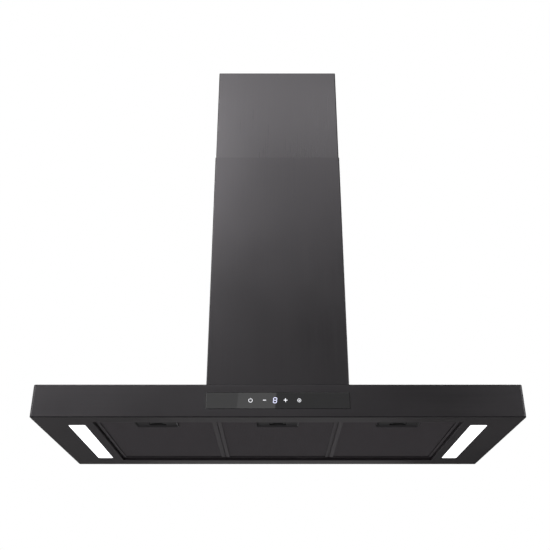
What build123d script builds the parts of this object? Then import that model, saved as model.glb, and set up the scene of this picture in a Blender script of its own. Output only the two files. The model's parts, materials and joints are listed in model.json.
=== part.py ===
from build123d import *
import math
import os

# An island range hood: a flat rectangular canopy hung from the ceiling by a
# telescoping strut frame, inside a two-piece rectangular chimney.
# Heights below are measured up from the canopy's underside. The finished
# parts are lowered by overall_height, so the origin is on the ceiling.
# X runs to the right, as seen from the controls, and Y runs to the back.

# ---- Driving dimensions, in millimetres ----
overall_height = 852.0
canopy_width = 900.0
canopy_depth = 396.0
canopy_height = 62.0
sheet = 1.0
canopy_bend = 4.0
canopy_top_bend = 2.0
canopy_bottom_bend = 2.0

chimney_sheet = 0.8
chimney_bend = 2.4
lower_chimney_width = 277.0
lower_chimney_depth = 260.0
lower_chimney_top = 611.0
chimney_gap = 0.4
upper_chimney_length = 500.0

strut_leg = 25.0
strut_wall = 1.5
strut_gap = 0.3
upper_strut_half_x = 131.0
upper_strut_half_y = 122.5
upper_strut_bottom = 420.0
lower_strut_top = 640.0
strut_bolt_heights = (600.0, 625.0)
strut_bolt_inset = 13.0
travel_up = 120.0
travel_down = 160.0

ceiling_plate_thickness = 2.0
ceiling_opening_half_x = 90.0
ceiling_opening_half_y = 85.0
ceiling_hole_x = 112.0
ceiling_hole_y = 60.0
ceiling_hole_radius = 4.0

fan_box_height = 290.0
outlet_radius = 74.5
outlet_wall = 1.2
outlet_length = 50.0
outlet_flange_radius = 84.0
outlet_flange = 1.2
flap_radius = 72.0
flap_thickness = 1.0
flap_height = 9.8
damper_pin_radius = 2.0

fan_y = 30.0
fan_height = 160.0
scroll_half_width = 58.0
scroll_wall = 1.5
scroll_start_radius = 66.0
scroll_end_radius = 95.0
scroll_start_angle = 80.0
scroll_end_angle = -180.0
inlet_radius = 54.0
impeller_radius = 62.0
impeller_inner_radius = 51.0
impeller_half_width = 50.0
blade_count = 36
shaft_radius = 4.0
motor_radius = 40.0
motor_left = -95.0
motor_right = -25.0

opening_half_x = 342.7
opening_front = 34.0
opening_rear = 357.6
filter_pitch = 228.0
filter_width = 227.0
filter_front = 37.0
filter_rear = 356.6
filter_bottom = 4.0
filter_thickness = 9.0
filter_sheet = 0.8
filter_front_border = 13.0
filter_rear_border = 17.0
filter_side_border = 8.0
filter_grip = 3.0
filter_side_rise = 1.5
filter_rear_rise = 3.5
filter_swing_inset = 1.0

led_inner_x = 360.8
led_outer_x = 392.4
led_front = 54.8
led_rear = 332.4
led_gap = 1.1
led_inset = 0.3

glass_half_width = 131.5
glass_bottom = 16.0
glass_top = 46.4
glass_thickness = 4.0
key_height = 31.7
key_positions = (-50.0, -24.4, 14.0, 39.0)
display_x = -5.2

# ---- Sizes worked out from the ones above ----
half_width = canopy_width / 2
half_depth = canopy_depth / 2
lower_half_x = lower_chimney_width / 2
lower_half_y = lower_chimney_depth / 2
upper_half_x = lower_half_x - chimney_sheet - chimney_gap
upper_half_y = lower_half_y - chimney_sheet - chimney_gap
upper_chimney_bottom = overall_height - upper_chimney_length
lower_strut_half_x = upper_strut_half_x - strut_wall - strut_gap
lower_strut_half_y = upper_strut_half_y - strut_wall - strut_gap
fan_box_half_x = lower_strut_half_x - strut_wall
fan_box_half_y = lower_strut_half_y - strut_wall
fan_box_top = canopy_height + fan_box_height
canopy_ceiling = canopy_height - sheet
pivot_height = fan_box_top + flap_height
filter_top = filter_bottom + filter_thickness
swing_height = filter_bottom + filter_rear_rise + filter_swing_inset
sides = (-1, 1)
corners = [(x, y) for x in sides for y in sides]
filter_centres = {"left": -filter_pitch, "middle": 0.0, "right": filter_pitch}


def back(distance):
    """The Y of a point this far behind the canopy's front face."""
    return distance - half_depth


# ---- Shapes that several parts share ----
def block(x0, x1, y0, y1, z0, z1):
    """A rectangular solid between two opposite corners, in any order."""
    centre = Pos((x0 + x1) / 2, (y0 + y1) / 2, (z0 + z1) / 2)
    return centre * Box(abs(x1 - x0), abs(y1 - y0), abs(z1 - z0))


def rod(start, direction, radius, length):
    """A round bar from a start point along a direction."""
    return Solid.make_cylinder(radius, length, Plane(origin=start, z_dir=direction))


def ring(start, direction, outer, inner, length):
    """A round tube from a start point along a direction."""
    return rod(start, direction, outer, length) - rod(start, direction, inner, length)


def rounded_prism(half_x, half_y, radius, z0, z1):
    """An upright prism with rounded corners, centred on the origin."""
    return Pos(0, 0, z0) * extrude(RectangleRounded(2 * half_x, 2 * half_y, radius), z1 - z0)


def square_tube(half_x, half_y, wall, bend, z0, z1):
    """An upright rectangular tube of folded sheet."""
    outer = rounded_prism(half_x, half_y, bend, z0, z1)
    return outer - rounded_prism(half_x - wall, half_y - wall, bend - wall, z0 - 1, z1 + 1)


def angle_bar(side_x, side_y, half_x, half_y, z0, z1):
    """An upright L-section bar, with its corner outwards."""
    x_leg = block(
        side_x * (half_x - strut_wall), side_x * half_x,
        side_y * (half_y - strut_leg), side_y * half_y, z0, z1,
    )
    y_leg = block(
        side_x * (half_x - strut_leg), side_x * half_x,
        side_y * (half_y - strut_wall), side_y * half_y, z0, z1,
    )
    return x_leg + y_leg


def cross_slot(x, y, z0, z1, width):
    """A cutter for an upright slot with round ends, through a wall that faces X."""
    depth = 8.0
    middle = block(x - depth, x + depth, y - width / 2, y + width / 2, z0 + width / 2, z1 - width / 2)
    low = rod((x - depth, y, z0 + width / 2), (1, 0, 0), width / 2, 2 * depth)
    high = rod((x - depth, y, z1 - width / 2), (1, 0, 0), width / 2, 2 * depth)
    return middle + low + high


def screw(seat, outward, shank_radius, length):
    """A pan-head screw with a cross recess, its head standing outward from its seat."""
    head_radius = 1.75 * shank_radius
    head_height = 1.1 * shank_radius
    head = fillet(
        Cylinder(head_radius, head_height, align=(Align.CENTER, Align.CENTER, Align.MIN))
        .edges().group_by(Axis.Z)[-1], 0.45 * head_height,
    )
    slot_depth = 0.5 * head_height
    slot = Box(1.1 * head_radius, 0.28 * head_radius, slot_depth)
    cross = Pos(0, 0, head_height - slot_depth / 2) * (slot + Rot(0, 0, 90) * slot)
    shank = Cylinder(shank_radius, length, align=(Align.CENTER, Align.CENTER, Align.MAX))
    return Plane(origin=seat, z_dir=outward).location * (head + shank - cross)


def nut(seat, outward, bore, height):
    """A hexagon nut on a seat."""
    body = extrude(RegularPolygon(1.8 * bore, 6), height)
    body -= Cylinder(bore, height, align=(Align.CENTER, Align.CENTER, Align.MIN))
    return Plane(origin=seat, z_dir=outward).location * body


def save(name, *solids):
    """Write one node, lowered so that the origin is on the ceiling."""
    lowered = [Pos(0, 0, -overall_height) * solid for solid in solids]
    shape = lowered[0] if len(lowered) == 1 else Compound(children=lowered)
    export_step(shape, os.path.join("parts", name + ".step"))


# ---- Ceiling frame ----
screw_radius = 2.0
chimney_screw_drop = 12.0
chimney_screw_y = 60.0
tab_screw_x = 118.0
tab_screw_drops = (8.0, 20.0)


def ceiling_plate():
    """The frame plate on the ceiling, with flanges for the chimney and tabs for the struts."""
    top = overall_height
    under = top - ceiling_plate_thickness
    fit = 0.3
    wall = 1.5
    half_x = upper_half_x - chimney_sheet - fit
    half_y = upper_half_y - chimney_sheet - fit
    plate = rounded_prism(half_x, half_y, 2.0, under, top)
    plate -= rounded_prism(ceiling_opening_half_x, ceiling_opening_half_y, 8.0, under - 1, top + 1)
    for side_x, side_y in corners:
        hole = (side_x * ceiling_hole_x, side_y * ceiling_hole_y, under - 1)
        plate -= rod(hole, (0, 0, 1), ceiling_hole_radius, ceiling_plate_thickness + 2)
        tab_y = side_y * (upper_strut_half_y - strut_wall)
        plate += block(
            side_x * (upper_strut_half_x - strut_wall - 0.1), side_x * 107.0,
            tab_y, tab_y - side_y * wall, top - 26.0, under,
        )
        for drop in tab_screw_drops:
            plate -= rod((side_x * tab_screw_x, tab_y - side_y * 4, top - drop), (0, side_y, 0), 2.05, 8)
    for side_x in sides:
        flange = block(side_x * (half_x - wall), side_x * half_x, -90.0, 90.0, top - 22.0, under)
        plate += flange
        for side_y in sides:
            start = (side_x * (half_x - 4), side_y * chimney_screw_y, top - chimney_screw_drop)
            plate -= rod(start, (side_x, 0, 0), 2.05, 8)
    return plate


def upper_strut(side_x, side_y):
    """A fixed strut, with a long slot that the height bolts slide in."""
    bar = angle_bar(
        side_x, side_y, upper_strut_half_x, upper_strut_half_y,
        upper_strut_bottom, overall_height - ceiling_plate_thickness,
    )
    slot_low = strut_bolt_heights[0] - travel_down - 5.0
    slot_high = strut_bolt_heights[1] + travel_up + 5.0
    bolt_y = side_y * (upper_strut_half_y - strut_bolt_inset)
    bar -= cross_slot(side_x * upper_strut_half_x, bolt_y, slot_low, slot_high, 6.4)
    for drop in tab_screw_drops:
        start = (side_x * tab_screw_x, side_y * (upper_strut_half_y - 4), overall_height - drop)
        bar -= rod(start, (0, side_y, 0), 2.1, 8)
    return bar


def upper_chimney():
    """The fixed inner sleeve of the chimney."""
    tube = square_tube(
        upper_half_x, upper_half_y, chimney_sheet, chimney_bend, upper_chimney_bottom, overall_height
    )
    for side_x, side_y in corners:
        start = (side_x * (upper_half_x - 4), side_y * chimney_screw_y, overall_height - chimney_screw_drop)
        tube -= rod(start, (side_x, 0, 0), 2.1, 8)
    return tube


def ceiling_frame_screws():
    """Screws that fix the struts and the upper chimney to the ceiling plate."""
    found = []
    for side_x, side_y in corners:
        for drop in tab_screw_drops:
            seat = (side_x * tab_screw_x, side_y * upper_strut_half_y, overall_height - drop)
            found.append(screw(seat, (0, side_y, 0), screw_radius, 6.0))
        seat = (side_x * upper_half_x, side_y * chimney_screw_y, overall_height - chimney_screw_drop)
        found.append(screw(seat, (side_x, 0, 0), screw_radius, 6.0))
    return found


# ---- Canopy ----
hem = 4.0
panel_gap = 0.4
fan_opening_half_x = 115.0
fan_opening_half_y = 107.0
side_flange_half_y = 88.0
front_flange_half_x = 96.0
flange_screw_x = 132.0
flange_screw_y = 124.2
ledge_height = 17.0
ledge_width = 8.0
bracket_y = 120.0
bracket_screw_x = opening_half_x - 4.0


def flange_screw_points():
    """Where screws hold the fan box's flanges to the canopy."""
    side_points = [(side_x * flange_screw_x, y) for side_x in sides for y in (-70.0, 70.0)]
    end_points = [(x, side_y * flange_screw_y) for side_y in sides for x in (-70.0, 70.0)]
    return side_points + end_points


def canopy_shell():
    """The folded outer shell: a top, four sides and a narrow hem underneath."""
    shell = Box(canopy_width, canopy_depth, canopy_height, align=(Align.CENTER, Align.CENTER, Align.MIN))
    shell = fillet(shell.edges().filter_by(Axis.Z), canopy_bend)
    shell = fillet(shell.edges().group_by(Axis.Z)[-1], canopy_top_bend)
    shell = fillet(shell.edges().group_by(Axis.Z)[0], canopy_bottom_bend)
    inside = rounded_prism(
        half_width - sheet, half_depth - sheet, canopy_bend - sheet, sheet, canopy_ceiling
    )
    shell -= inside
    shell -= rounded_prism(half_width - hem, half_depth - hem, 1.0, -1, sheet + 1)
    shell -= rounded_prism(fan_opening_half_x, fan_opening_half_y, 6.0, canopy_ceiling - 1, canopy_height + 1)
    fit = 0.3
    shell -= block(
        -glass_half_width - fit, glass_half_width + fit, back(-1), back(2),
        glass_bottom - fit, glass_top + fit,
    )
    for x, y in flange_screw_points():
        shell -= rod((x, y, canopy_ceiling - 1), (0, 0, 1), 2.05, 4)
    return shell


def latch_slot(centre):
    """A cutter for the slot that a filter's latch enters, in the recess's front wall."""
    return block(centre - 8.5, centre + 8.5, back(opening_front - 3), back(opening_front + 1.5), 6.5, 10.5)


def lug_slot(centre):
    """A cutter for the slot that a filter's rear lug sits in."""
    return block(
        centre - 8.0, centre + 8.0, back(opening_rear - 0.5), back(opening_rear + 3),
        swing_height - 1.0, swing_height + 6.5,
    )


lug_offset = 80.0
recess_bend = 0.9


def recess_rim_edges(panel):
    """The four lower edges round the filter recess."""
    lowest = panel.edges().group_by(Axis.Z)[0]
    reach = lowest.filter_by_position(Axis.X, -opening_half_x, opening_half_x)
    return reach.filter_by_position(Axis.Y, back(opening_front), back(opening_rear))


def base_panel():
    """The underside panel, with a recess for the filters and two light windows."""
    panel = rounded_prism(
        half_width - hem - panel_gap, half_depth - hem - panel_gap, 1.0, 0, sheet
    )
    front = back(opening_front)
    rear = back(opening_rear)
    wall_top = ledge_height + sheet
    recess = block(
        -opening_half_x - sheet, opening_half_x + sheet, front - sheet, rear + sheet, 0, wall_top
    )
    cavity = block(-opening_half_x, opening_half_x, front, rear, -1, ledge_height)
    way_through = block(
        -opening_half_x + ledge_width, opening_half_x - ledge_width,
        front + ledge_width, rear - ledge_width, 0, wall_top + 1,
    )
    panel = panel + recess - cavity - way_through
    panel = fillet(recess_rim_edges(panel), recess_bend)
    for centre in filter_centres.values():
        panel -= latch_slot(centre)
        for side in sides:
            panel -= lug_slot(centre + side * lug_offset)
    for side_x in sides:
        window = RectangleRounded(
            led_outer_x - led_inner_x + 2 * led_gap, led_rear - led_front + 2 * led_gap, 4.0 + led_gap
        )
        middle = Pos(side_x * (led_inner_x + led_outer_x) / 2, back((led_front + led_rear) / 2), -1)
        panel -= middle * extrude(window, 3)
        for side_y in sides:
            hole = (side_x * bracket_screw_x, side_y * bracket_y, ledge_height - 1)
            panel -= rod(hole, (0, 0, 1), 2.05, 4)
    return panel


def panel_brackets():
    """Four folded brackets that hang the base panel from the canopy's top."""
    found = []
    foot = 10.5
    wall = 1.5
    low = ledge_height + sheet
    for side_x, side_y in corners:
        inner = side_x * (opening_half_x - ledge_width)
        outer = side_x * (opening_half_x - ledge_width + foot)
        web = outer - side_x * wall
        y0 = side_y * bracket_y - 12.0
        y1 = side_y * bracket_y + 12.0
        bracket = block(inner, outer, y0, y1, low, low + wall)
        bracket += block(web, outer, y0, y1, low, canopy_ceiling)
        bracket += block(web, outer - side_x * 18.0, y0, y1, canopy_ceiling - wall, canopy_ceiling)
        bracket -= rod((side_x * bracket_screw_x, side_y * bracket_y, low - 1), (0, 0, 1), 2.05, 4)
        found.append(bracket)
    return found


# ---- Fan box and lower struts ----
strut_screw_heights = (90.0, 260.0)
gland_x = -78.0
gland_y = -72.0
scroll_screw_x = 63.5
scroll_screw_y = 47.5


def fan_box():
    """The five welded sheets of the box round the blower, open below, with flanges on the canopy."""
    box = rounded_prism(fan_box_half_x, fan_box_half_y, 1.6, canopy_height, fan_box_top)
    box -= rounded_prism(
        fan_box_half_x - sheet, fan_box_half_y - sheet, 0.6, canopy_height - 1, fan_box_top - sheet
    )
    flange_top = canopy_height + 1.5
    for side in sides:
        side_edge = side * (upper_half_x - chimney_sheet)
        box += block(
            side * (fan_box_half_x - sheet), side_edge,
            -side_flange_half_y, side_flange_half_y, canopy_height, flange_top,
        )
        end_edge = side * (upper_half_y - chimney_sheet)
        box += block(
            -front_flange_half_x, front_flange_half_x,
            side * (fan_box_half_y - sheet), end_edge, canopy_height, flange_top,
        )
    for x, y in flange_screw_points():
        box -= rod((x, y, canopy_height - 1), (0, 0, 1), 2.1, 4)
    box -= rod((0, 0, fan_box_top - 3), (0, 0, 1), outlet_radius - outlet_wall, 6)
    box -= rod((gland_x, gland_y, fan_box_top - 3), (0, 0, 1), 7.6, 6)
    for side_x, side_y in corners:
        box -= rod((side_x * scroll_screw_x, side_y * scroll_screw_y, fan_box_top - 3), (0, 0, 1), 2.1, 6)
        for height in strut_screw_heights:
            y = side_y * (lower_strut_half_y - strut_bolt_inset)
            box -= rod((side_x * (fan_box_half_x - 4), y, height), (side_x, 0, 0), 2.05, 8)
    wall_top = fan_box_top - sheet
    inner_x = fan_box_half_x - sheet
    sheets = [box & block(-lower_half_x, lower_half_x, -lower_half_y, lower_half_y, wall_top, fan_box_top)]
    for side in sides:
        side_space = block(
            side * inner_x, side * lower_half_x, -lower_half_y, lower_half_y, canopy_height, wall_top
        )
        end_space = block(-inner_x, inner_x, 0, side * lower_half_y, canopy_height, wall_top)
        sheets.append(box & side_space)
        sheets.append(box & end_space)
    return sheets


def lower_strut(side_x, side_y):
    """A strut that rises from the canopy inside a fixed strut."""
    bar = angle_bar(
        side_x, side_y, lower_strut_half_x, lower_strut_half_y, canopy_height, lower_strut_top
    )
    y = side_y * (lower_strut_half_y - strut_bolt_inset)
    bolt_y = side_y * (upper_strut_half_y - strut_bolt_inset)
    for height in strut_screw_heights:
        bar -= rod((side_x * (lower_strut_half_x - 4), y, height), (side_x, 0, 0), 2.1, 8)
    for height in strut_bolt_heights:
        bar -= rod((side_x * (lower_strut_half_x - 4), bolt_y, height), (side_x, 0, 0), 2.6, 8)
    return bar


def strut_bolts():
    """The bolts and nuts that set the canopy's height, two in each pair of struts."""
    found = []
    for side_x, side_y in corners:
        for height in strut_bolt_heights:
            y = side_y * (upper_strut_half_y - strut_bolt_inset)
            seat = (side_x * (upper_strut_half_x + 0.2), y, height)
            found.append(screw(seat, (side_x, 0, 0), 2.5, 9.0))
            nut_seat = (side_x * (lower_strut_half_x - strut_wall), y, height)
            found.append(nut(nut_seat, (-side_x, 0, 0), 2.55, 4.0))
    return found


def hood_screws():
    """Screws that hold the fan box, struts, blower, outlet and base panel."""
    found = []
    for x, y in flange_screw_points():
        found.append(screw((x, y, canopy_height + 1.5), (0, 0, 1), screw_radius, 5.0))
    for side_x, side_y in corners:
        y = side_y * (lower_strut_half_y - strut_bolt_inset)
        for height in strut_screw_heights:
            found.append(screw((side_x * lower_strut_half_x, y, height), (side_x, 0, 0), screw_radius, 6.0))
        top = (side_x * scroll_screw_x, side_y * scroll_screw_y, fan_box_top + outlet_flange)
        found.append(screw(top, (0, 0, 1), screw_radius, 6.0))
        under = (side_x * bracket_screw_x, side_y * bracket_y, ledge_height)
        found.append(screw(under, (0, 0, -1), screw_radius, 6.0))
    return found


def lower_chimney():
    """The outer sleeve of the chimney, which stands on the canopy."""
    return square_tube(
        lower_half_x, lower_half_y, chimney_sheet, chimney_bend, canopy_height, lower_chimney_top
    )


# ---- Blower ----
def scroll_outline(grow):
    """The blower casing's side view, grown outwards by a wall thickness."""
    steps = 13
    points = []
    for step in range(steps):
        share = step / (steps - 1)
        angle = math.radians(scroll_start_angle + share * (scroll_end_angle - scroll_start_angle))
        radius = scroll_start_radius + share * (scroll_end_radius - scroll_start_radius) + grow
        points.append((fan_y + radius * math.cos(angle), fan_height + radius * math.sin(angle)))
    top = fan_box_top - sheet
    first, last = points[0], points[-1]
    spiral = Spline(*points)
    sides_and_top = Polyline(last, (last[0], top), (first[0], top), first)
    return make_face(Plane.YZ * (Curve() + spiral + sides_and_top))


def scroll_half(side):
    """Half of the blower casing, with its inlet and half of the outlet's flange."""
    outer_x = scroll_half_width + scroll_wall
    shell = extrude(scroll_outline(scroll_wall), outer_x, dir=(1, 0, 0))
    shell -= extrude(scroll_outline(0), scroll_half_width, dir=(1, 0, 0))
    flange_top = fan_box_top - sheet
    tongue_y = fan_y + scroll_start_radius * math.cos(math.radians(scroll_start_angle))
    front_y = fan_y - scroll_end_radius
    flange = block(0, outer_x + 7, front_y - 8, tongue_y + 12, flange_top - scroll_wall, flange_top)
    flange -= block(-1, scroll_half_width, front_y, tongue_y, flange_top - 5, flange_top + 1)
    shell += flange
    shell -= rod((scroll_half_width - 1, fan_y, fan_height), (1, 0, 0), inlet_radius, 4)
    for side_y in sides:
        start = (scroll_screw_x, side_y * scroll_screw_y, flange_top - 5)
        shell -= rod(start, (0, 0, 1), 2.05, 8)
    return shell if side > 0 else mirror(shell, Plane.YZ)


def impeller():
    """A double-inlet wheel: a centre disc, two end rings and slanted blades."""
    axis = (1, 0, 0)
    start = (-impeller_half_width, fan_y, fan_height)
    wheel = ring(start, axis, impeller_radius, impeller_inner_radius, 2.0)
    wheel += ring(
        (impeller_half_width - 2, fan_y, fan_height), axis, impeller_radius, impeller_inner_radius, 2.0
    )
    wheel += rod((-1, fan_y, fan_height), axis, impeller_radius, 2.0)
    wheel += rod((-12, fan_y, fan_height), axis, 10.0, 24.0)
    blade_middle = (impeller_radius + impeller_inner_radius) / 2
    blade = Box(2 * impeller_half_width, 0.8, 9.8)
    for index in range(blade_count):
        turn = 360 * index / blade_count
        wheel += Pos(0, fan_y, fan_height) * Rot(turn, 0, 0) * Pos(0, 0, blade_middle) * Rot(28, 0, 0) * blade
    return wheel - rod((-20, fan_y, fan_height), axis, shaft_radius, 40)


def motor_shaft():
    """The shaft that the rotor and the impeller are fixed on."""
    return rod((motor_left + 2, fan_y, fan_height), (1, 0, 0), shaft_radius, 12 - motor_left - 2)


rotor_left = -80.0
rotor_length = 36.0
rotor_radius = 19.0
bearing_width = 5.0


def rotor():
    """The motor's laminated rotor."""
    return ring((rotor_left, fan_y, fan_height), (1, 0, 0), rotor_radius, shaft_radius, rotor_length)


def stator():
    """The motor's laminated stator, with slots for its windings."""
    axis = (1, 0, 0)
    core = ring(
        (rotor_left, fan_y, fan_height), axis, motor_radius - sheet - 0.05, rotor_radius + 0.8, rotor_length
    )
    slots = 12
    for index in range(slots):
        slot = Pos(rotor_left + rotor_length / 2, fan_y, fan_height) * Rot(360 * index / slots, 0, 0)
        core -= slot * Pos(0, 0, 27.0) * Box(rotor_length + 2, 5.0, 9.0)
    return core


def motor_bearings():
    """Two bearings that carry the shaft."""
    axis = (1, 0, 0)
    clearance = 0.05
    left = motor_left + sheet
    right = motor_right - sheet - bearing_width
    return [
        ring((x, fan_y, fan_height), axis, 9.0, shaft_radius + clearance, bearing_width)
        for x in (left, right)
    ]


def motor_housing():
    """The motor's drawn cup, with a mounting flange and a seat for a bearing."""
    axis = (1, 0, 0)
    start = (motor_left, fan_y, fan_height)
    cup = rod(start, axis, motor_radius, motor_right - sheet - motor_left)
    inside = (motor_left + sheet, fan_y, fan_height)
    cup -= rod(inside, axis, motor_radius - sheet, motor_right - motor_left)
    cup += ring(inside, axis, 12.0, 9.0, bearing_width)
    flange_left = -scroll_half_width - 2 * scroll_wall - 1.5
    cup += ring((flange_left, fan_y, fan_height), axis, 46.0, motor_radius - sheet, 1.5)
    return cup


def motor_end_cap():
    """The cover on the motor's inner end, with the other bearing's seat."""
    axis = (1, 0, 0)
    cap = ring((motor_right - sheet, fan_y, fan_height), axis, motor_radius, 5.0, sheet)
    seat_left = motor_right - sheet - bearing_width
    cap += ring((seat_left, fan_y, fan_height), axis, 12.0, 9.0, bearing_width)
    return cap


def motor_bracket():
    """A three-armed ring that holds the motor in the casing's left inlet."""
    axis = (1, 0, 0)
    left = -scroll_half_width - 2 * scroll_wall
    bracket = rod((left, fan_y, fan_height), axis, 49.0, scroll_wall)
    arm = Pos(left + scroll_wall / 2, fan_y, fan_height)
    for turn in (0, 120, 240):
        bracket += arm * Rot(turn, 0, 0) * Pos(0, 0, 58.0) * Box(scroll_wall, 14.0, 24.0)
    return bracket - rod((left - 1, fan_y, fan_height), axis, motor_radius + 0.1, scroll_wall + 2)


def capacitor():
    """The motor's run capacitor, against the fan box's right wall."""
    radius = 14.0
    x = fan_box_half_x - sheet - radius
    can = rod((x, 70.0, 200.0), (0, 0, 1), radius, 60.0)
    can += rod((x, 70.0, 194.0), (0, 0, 1), 4.0, 6.0)
    return can


# ---- Outlet, damper and cable gland ----
def outlet_collar():
    """The round outlet, with a flange below and a lip that the damper rests on."""
    inner = outlet_radius - outlet_wall
    tube = ring((0, 0, fan_box_top), (0, 0, 1), outlet_radius, inner, outlet_flange + outlet_length)
    tube += ring((0, 0, fan_box_top), (0, 0, 1), outlet_flange_radius, inner, outlet_flange)
    lip_top = pivot_height - flap_thickness / 2 - 0.3
    lip = ring((0, 0, lip_top - 1), (0, 0, 1), inner + 0.2, 70.0, 1.0)
    lip -= block(-4.5, 4.5, -inner, inner, lip_top - 2, lip_top + 1)
    tube += lip
    tube -= rod((0, -90, pivot_height), (0, 1, 0), damper_pin_radius, 180)
    for side_x, side_y in corners:
        tube -= rod((side_x * scroll_screw_x, side_y * scroll_screw_y, fan_box_top - 1), (0, 0, 1), 2.1, 4)
    return tube


def damper_pin():
    """The pin across the outlet that both damper flaps swing on."""
    return rod((0, -outlet_radius, pivot_height), (0, 1, 0), damper_pin_radius, 2 * outlet_radius)


def damper_flap(side):
    """Half of the non-return damper, with two knuckles round the pin."""
    edge = 4.4
    disc = rod((0, 0, pivot_height - flap_thickness / 2), (0, 0, 1), flap_radius, flap_thickness)
    flap = disc & block(edge * side, 80 * side, -80, 80, pivot_height - 5, pivot_height + 5)
    spans = ((-62.0, -36.0), (10.0, 35.0)) if side < 0 else ((-35.0, -10.0), (36.0, 62.0))
    for low, high in spans:
        flap += block(
            2.6 * side, (edge + 0.5) * side, low, high,
            pivot_height - flap_thickness / 2, pivot_height + flap_thickness / 2,
        )
        flap += rod((0, low, pivot_height), (0, 1, 0), 3.6, high - low)
    for low, high in spans:
        flap -= rod((0, low - 1, pivot_height), (0, 1, 0), damper_pin_radius + 0.08, high - low + 2)
    return flap


def cable_gland():
    """The gland that the supply cable enters by, with its locknut."""
    axis = (0, 0, 1)
    low = fan_box_top - sheet - 6.0
    gland = rod((gland_x, gland_y, low), axis, 7.5, 14.0)
    gland += Pos(gland_x, gland_y, fan_box_top) * extrude(RegularPolygon(11.0, 6), 6.0)
    gland += rod((gland_x, gland_y, fan_box_top + 6), axis, 9.0, 10.0)
    gland += Pos(gland_x, gland_y, low + 1.5) * extrude(RegularPolygon(11.0, 6), 4.5)
    return gland - rod((gland_x, gland_y, low - 1), axis, 4.0, 30.0)


# ---- Control panel ----
housing_half_width = 137.0
housing_bottom = 10.0
housing_top = 52.0
housing_rear = 22.0
board_front = 7.6
board_half_width = 120.0


def control_glass():
    """The dark glass panel, flush with the canopy's front."""
    glass = block(
        -glass_half_width, glass_half_width, back(0), back(glass_thickness), glass_bottom, glass_top
    )
    front_edges = glass.edges().group_by(Axis.Y)[0]
    return chamfer(front_edges, 0.4)


def control_housing():
    """The plastic tray behind the glass, which holds the touch board."""
    fit = 0.3
    tray = block(
        -housing_half_width, housing_half_width, back(sheet), back(housing_rear),
        housing_bottom, housing_top,
    )
    tray -= block(
        -glass_half_width - fit, glass_half_width + fit, back(0), back(glass_thickness),
        glass_bottom - fit, glass_top + fit,
    )
    tray -= block(-125.0, 125.0, back(0), back(housing_rear - 1.5), 19.5, 43.0)
    return tray


def touch_board():
    """The circuit board behind the glass."""
    board = block(
        -board_half_width, board_half_width, back(board_front), back(board_front + 1.6), 20.5, 42.0
    )
    board += block(60.0, 90.0, back(board_front + 1.6), back(board_front + 7), 24.0, 38.0)
    return board


def touch_springs():
    """The four sensing springs between the board and the glass."""
    length = board_front - glass_thickness
    return [
        ring((x, back(glass_thickness), key_height), (0, 1, 0), 4.0, 3.2, length) for x in key_positions
    ]


def display_module():
    """The one-digit display, against the back of the glass."""
    return block(display_x - 8, display_x + 8, back(glass_thickness), back(board_front), 22.0, 41.0)


# ---- Electronics ----
power_box_left = 399.0
power_box_right = 443.0
power_box_half_y = 80.0
power_box_low = 22.0


def power_box():
    """The folded box that holds the main board, under the canopy's top."""
    box = block(
        power_box_left, power_box_right, -power_box_half_y, power_box_half_y, power_box_low, canopy_ceiling
    )
    return box - block(
        power_box_left + sheet, power_box_right - sheet,
        -power_box_half_y + sheet, power_box_half_y - sheet, power_box_low - 1, canopy_ceiling - sheet,
    )


def power_box_lid():
    """The cover under the power box."""
    return block(
        power_box_left, power_box_right, -power_box_half_y, power_box_half_y,
        power_box_low - 1.2, power_box_low,
    )


def main_board():
    """The main circuit board, with its transformer, relays and terminal block."""
    x0, x1 = power_box_left + 4, power_box_right - 4
    board_low = 52.0
    board = block(x0, x1, -70, 70, board_low, board_low + 1.6)
    for y0, y1, drop in ((-66.0, -34.0, 22.0), (-28.0, -12.0, 15.0), (-8.0, 8.0, 15.0), (30.0, 66.0, 12.0)):
        board += block(x0 + 4, x1 - 4, y0, y1, board_low - drop, board_low)
    for side_x in (x0 + 2.5, x1 - 2.5):
        for y in (-60.0, 60.0):
            spacer_low = board_low + 1.6
            board += rod((side_x, y, spacer_low), (0, 0, 1), 2.0, canopy_ceiling - sheet - spacer_low)
    return board


# ---- Lights ----
tray_top = 22.0


def led_middle(side):
    """The centre of a light window, on the underside."""
    return Pos(side * (led_inner_x + led_outer_x) / 2, back((led_front + led_rear) / 2), 0)


def led_lens(side):
    """A frosted lens: a rounded window with a wider flange behind the panel."""
    width = led_outer_x - led_inner_x
    length = led_rear - led_front
    window = Pos(0, 0, led_inset) * extrude(RectangleRounded(width, length, 4.0), sheet - led_inset)
    flange = Pos(0, 0, sheet) * extrude(RectangleRounded(width + 5, length + 5, 5.0), 1.5)
    return led_middle(side) * (window + flange)


def led_board(side):
    """A strip board with a row of light chips, under the tray's top."""
    length = led_rear - led_front - 12
    low = tray_top - sheet - 1.6
    board = Pos(0, 0, low + 0.8) * Box(18.0, length, 1.6)
    chips = 14
    for index in range(chips):
        y = (index - (chips - 1) / 2) * length / chips
        board += Pos(0, y, low - 0.4) * Box(3.5, 3.5, 0.8)
    return led_middle(side) * board


def led_tray(side):
    """The channel that holds a light board and its lens."""
    width = led_outer_x - led_inner_x + 7
    length = led_rear - led_front + 7
    low = sheet
    height = tray_top - low
    tray = Pos(0, 0, low + height / 2) * Box(width, length, height)
    tray -= Pos(0, 0, low + (height - sheet) / 2) * Box(width - 2 * sheet, length - 2 * sheet, height - sheet)
    return led_middle(side) * tray


# ---- Filters ----
lug_length = 6.0
cup_half_width = 40.0
cup_front = filter_front + filter_front_border + 0.3
cup_rear = 86.0
cup_wall = 1.2
cup_floor = 7.0
pocket_half_width = 15.5
pocket_rear = 82.4
pad_front = 52.4
pad_rear = 76.0
nose_height = 8.25
nose_half_thickness = 1.25
nose_half_width = 7.5
spring_front = 41.0


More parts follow.
